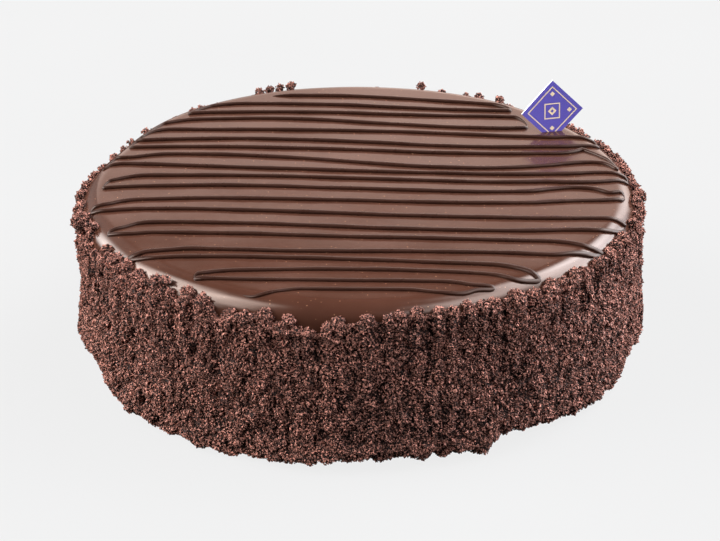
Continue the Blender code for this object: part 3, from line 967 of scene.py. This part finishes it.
def bead_thickness(path, along):
    """How thick the bead is along its path, as a share of its full size."""
    rng = np.random.default_rng(BEAD_SEED)
    travel = np.concatenate([[0], np.cumsum(np.linalg.norm(np.diff(path, axis=0), axis=1))])
    thickness = np.ones(len(path))
    for length, phase, share in BEAD_WAVES:
        thickness += share * np.sin(travel / length + phase)
    thickness += BEAD_ROUGH * rng.uniform(-1, 1, len(path))
    thickness *= 1 - THIN_FRONT * np.clip((-path[:, 1] - THIN_FROM) / THIN_OVER, 0, 1)
    from_end = np.minimum(travel, travel[-1] - travel)
    thickness *= np.sqrt(np.clip(from_end / BEAD_TAPER, 0.01, 1))
    turned = along[:, 1] ** 2
    at_right = np.where(path[:, 1] > SHARP_TURNS, turned ** 2, 0)
    return thickness * (1 - NOSE_THIN * np.where(path[:, 0] < 0, turned, at_right))


def tube_faces(rings, corners):
    """Quads round an open tube, its points stored ring by ring."""
    ring = np.arange(rings - 1)[:, None] * corners
    corner = np.arange(corners)[None]
    beside = (corner + 1) % corners
    return np.stack([
        ring + corner, ring + beside, ring + corners + beside, ring + corners + corner,
    ], axis=-1).reshape(-1, 4)


def make_zigzag():
    path = zigzag_path()
    x, y = path.T
    along = np.gradient(path, axis=0)
    along = unit(np.concatenate([along, np.zeros((len(path), 1))], axis=1))
    thickness = bead_thickness(path, along)[:, None]
    normal = surface_normal(x, y)
    side = unit(np.cross(normal, along))
    height = surface_height(x, y) + glaze_swell(x, y) - GLAZE_SINK
    centre = np.stack([x, y, height], axis=-1)
    section = bead_section()
    across = section[:, 0] * BEAD_WIDTH / 2 * thickness
    up = section[:, 1] * BEAD_HEIGHT * thickness
    rings = centre[:, None] + side[:, None] * across[..., None] + normal[:, None] * up[..., None]
    # The bead's darkened colours are painted shade for its dark front faces
    material = glaze_material("piped_chocolate", *BEAD_SHADED_COLOURS, *BEAD_FINISH, specks=False)
    faces = tube_faces(len(path), len(section))
    piece = add_mesh("zigzag", rings.reshape(-1, 3), faces, material)
    place(piece, "piping", "piped_zigzag")


# -------- card


def card_placement():
    turn = Matrix.Rotation(math.radians(CARD_YAW), 4, "Z")
    lean = Matrix.Rotation(math.radians(-CARD_LEAN), 4, "X")
    corner_down = Matrix.Rotation(math.radians(45), 4, "Y")
    above_glaze = CARD_SIDE / math.sqrt(2) - CARD_BURIED
    foot = Vector((*CARD_FOOT, float(surface_height(*np.array(CARD_FOOT)))))
    centre = foot + (turn @ lean) @ Vector((0, 0, above_glaze))
    return Matrix.Translation(centre) @ turn @ lean @ corner_down


def card_bow(across, up):
    """How far the card stands back at a place on it, both from -1 to 1."""
    return CARD_BOW * (1 - ((across + up) / 2) ** 2)


def on_card(across, up, proud):
    """Points on the card's face, in millimetres from its middle, lifted off it by proud."""
    half = CARD_SIDE / 2
    depth = card_bow(across / half, up / half) - proud
    local = np.stack([across, depth, up], axis=-1)
    turned = np.array(card_placement())
    return local @ turned[:3, :3].T + turned[:3, 3]


def make_card():
    half = CARD_SIDE / 2
    along = np.linspace(-half, half, CARD_STEPS + 1)
    across, up = (grid.ravel() for grid in np.meshgrid(along, along, indexing="ij"))
    front = on_card(across, up, CARD_THICKNESS / 2)
    back = on_card(across, up, -CARD_THICKNESS / 2)
    points = np.concatenate([front, back])
    make_card_faces(points)
    make_card_edge(points)
    make_gold_lines()


def make_card_faces(points):
    row = CARD_STEPS + 1
    corner = (np.arange(CARD_STEPS)[:, None] * row + np.arange(CARD_STEPS)[None]).ravel()
    face = np.stack([corner, corner + row, corner + row + 1, corner + 1], axis=-1)
    faces = np.concatenate([face, face[:, ::-1] + row ** 2])
    coating = card_material("card_face", *CARD_COLOURS, 0.4)
    place(add_mesh("card", points, faces, coating), "card", "corner_card")


def make_card_edge(points):
    """The cut edge of the card, between the outlines of its front and its back."""
    row = CARD_STEPS + 1
    edge = np.concatenate([
        np.arange(row), row * np.arange(1, row) + CARD_STEPS,
        row ** 2 - 2 - np.arange(CARD_STEPS), row * np.arange(CARD_STEPS - 1, 0, -1),
    ])
    after = np.roll(edge, -1)
    sides = np.stack([edge, after, after + row ** 2, edge + row ** 2], axis=-1)
    paper = card_material("card_edge", *EDGE_COLOURS, 0.7)
    rim = add_mesh("card_edge", points, sides, paper, smooth=False)
    place(rim, "card", "corner_card")


def make_gold_lines():
    """Plain squares and lozenges of thin raised gold."""
    points, faces = [], []
    side = np.linspace(-1, 1, CARD_STEPS // 2 + 1)[:-1]
    ones = np.ones_like(side)
    square = np.concatenate([
        np.stack([side, -ones], -1), np.stack([ones, side], -1),
        np.stack([-side, ones], -1), np.stack([-ones, -side], -1),
    ])
    count = len(square)
    here = np.arange(count)
    after = np.roll(here, -1)
    for half, width, turn, middle in GOLD_SQUARES:
        c, s = math.cos(math.radians(turn)), math.sin(math.radians(turn))
        flat = square @ np.array([[c, s], [-s, c]])
        rings = []
        for size, rise in ((half, 0), (half, 1), (half - width, 1), (half - width, 0)):
            outline = flat * size + middle
            proud = CARD_THICKNESS / 2 + GOLD_RISE * rise
            rings.append(on_card(outline[:, 0], outline[:, 1], proud))
        for ring in range(3):
            start = sum(len(block) for block in points) + ring * count
            faces.append(start + np.stack([here, after, after + count, here + count], axis=-1))
        points.append(np.concatenate(rings))
    gold = card_material("card_gold", *GOLD_COLOURS, 0.35)
    piece = add_mesh(
        "card_lines", np.concatenate(points), np.concatenate(faces), gold, smooth=False)
    place(piece, "card", "corner_card")


# -------- studio


def direction_to(azimuth, elevation):
    a, e = math.radians(azimuth), math.radians(elevation)
    return Vector((math.sin(a) * math.cos(e), math.cos(a) * math.cos(e), math.sin(e)))


def panel(number, azimuth, elevation, distance, width, height, radiance):
    """A rectangular light that faces the cake."""
    light = bpy.data.lights.new("panel_%d" % number, "AREA")
    light.shape = "RECTANGLE"
    light.size = width * MM
    light.size_y = height * MM
    light.energy = radiance * math.pi * width * height * MM ** 2
    light.color = PANEL_COLOUR
    lamp = bpy.data.objects.new("panel_%d" % number, light)
    away = direction_to(azimuth, elevation)
    lamp.location = Vector(PANEL_AIM) * MM + away * distance * MM
    lamp.rotation_euler = away.to_track_quat("Z", "Y").to_euler()
    lamp.visible_camera = False
    bpy.context.collection.objects.link(lamp)


def reckon(tree, operation, *values):
    """A math node on numbers and sockets."""
    node = add_node(tree, "Math", operation=operation)
    for socket, value in zip(node.inputs, values):
        if isinstance(value, (int, float)):
            socket.default_value = value
        else:
            tree.links.new(value, socket)
    return node.outputs[0]


def faded(tree, value, middle, half, soft):
    """1 near the middle, falling to 0 over a soft edge at this half width."""
    away = reckon(tree, "ABSOLUTE", reckon(tree, "SUBTRACT", value, middle))
    node = add_node(
        tree, "MapRange", interpolation_type="SMOOTHSTEP",
        from_min=half - soft, from_max=half + soft, to_min=1.0, to_max=0.0)
    tree.links.new(away, node.inputs["Value"])
    return node.outputs["Result"]


def glow_colour(tree, azimuth):
    """White at the left, a little bluer towards the right."""
    cool = add_node(
        tree, "MapRange",
        from_min=COOL_FROM, from_max=COOL_TO, to_min=1.0, to_max=COOL_RIGHT)
    tree.links.new(azimuth, cool.inputs["Value"])
    colour = add_node(tree, "CombineColor", Red=1.0)
    green = reckon(tree, "POWER", cool.outputs["Result"], COOL_GREEN)
    tree.links.new(green, colour.inputs["Green"])
    tree.links.new(cool.outputs["Result"], colour.inputs["Blue"])
    return colour.outputs["Color"]


def make_world():
    """Soft light all round, as broad glows with soft edges."""
    world = bpy.data.worlds.new("studio")
    bpy.context.scene.world = world
    world.use_nodes = True
    tree = world.node_tree
    split = add_node(tree, "SeparateXYZ")
    towards = add_node(tree, "TexCoord").outputs["Generated"]
    tree.links.new(towards, split.inputs["Vector"])
    x, y, z = split.outputs
    azimuth = reckon(tree, "DEGREES", reckon(tree, "ARCTAN2", x, y))
    elevation = reckon(tree, "DEGREES", reckon(tree, "ARCSINE", z))
    total = 0.0
    for middle, level, half_width, half_height, soft, radiance in GLOWS:
        across = faded(tree, azimuth, middle, half_width, soft)
        up = faded(tree, elevation, level, half_height, soft)
        glow = reckon(tree, "MULTIPLY", reckon(tree, "MULTIPLY", across, up), radiance)
        total = reckon(tree, "ADD", glow, total)
    background = tree.nodes["Background"]
    tree.links.new(glow_colour(tree, azimuth), background.inputs["Color"])
    tree.links.new(total, background.inputs["Strength"])


def make_studio():
    corners = np.array([(-1, -1, 0), (1, -1, 0), (1, 1, 0), (-1, 1, 0)], float)
    points = corners * FLOOR_SIZE / 2
    floor = add_mesh("floor", points, np.array([(0, 1, 2, 3)]), floor_material())
    # The cake in the photo stood on something dark, so its sides get no light from the floor
    floor.visible_diffuse = False
    floor.visible_glossy = False
    make_world()
    for number, sizes in enumerate(PANELS, 1):
        panel(number, *sizes)


def make_camera():
    camera = bpy.data.cameras.new("camera")
    camera.lens = LENS
    camera.sensor_fit = "HORIZONTAL"
    camera.sensor_width = SENSOR
    camera.clip_start = 0.01
    camera.clip_end = 50
    eye = bpy.data.objects.new("camera", camera)
    elevation = math.radians(CAMERA_ELEVATION)
    away = Vector((0, -math.cos(elevation), math.sin(elevation)))
    eye.location = (Vector(AIM) + away * CAMERA_DISTANCE) * MM
    eye.rotation_euler = away.to_track_quat("Z", "Y").to_euler()
    bpy.context.collection.objects.link(eye)
    bpy.context.scene.camera = eye


make_camera()
make_studio()
make_crumb_coat()
make_glaze()
make_zigzag()
make_card()
bpy.context.scene.view_settings.view_transform = "Standard"
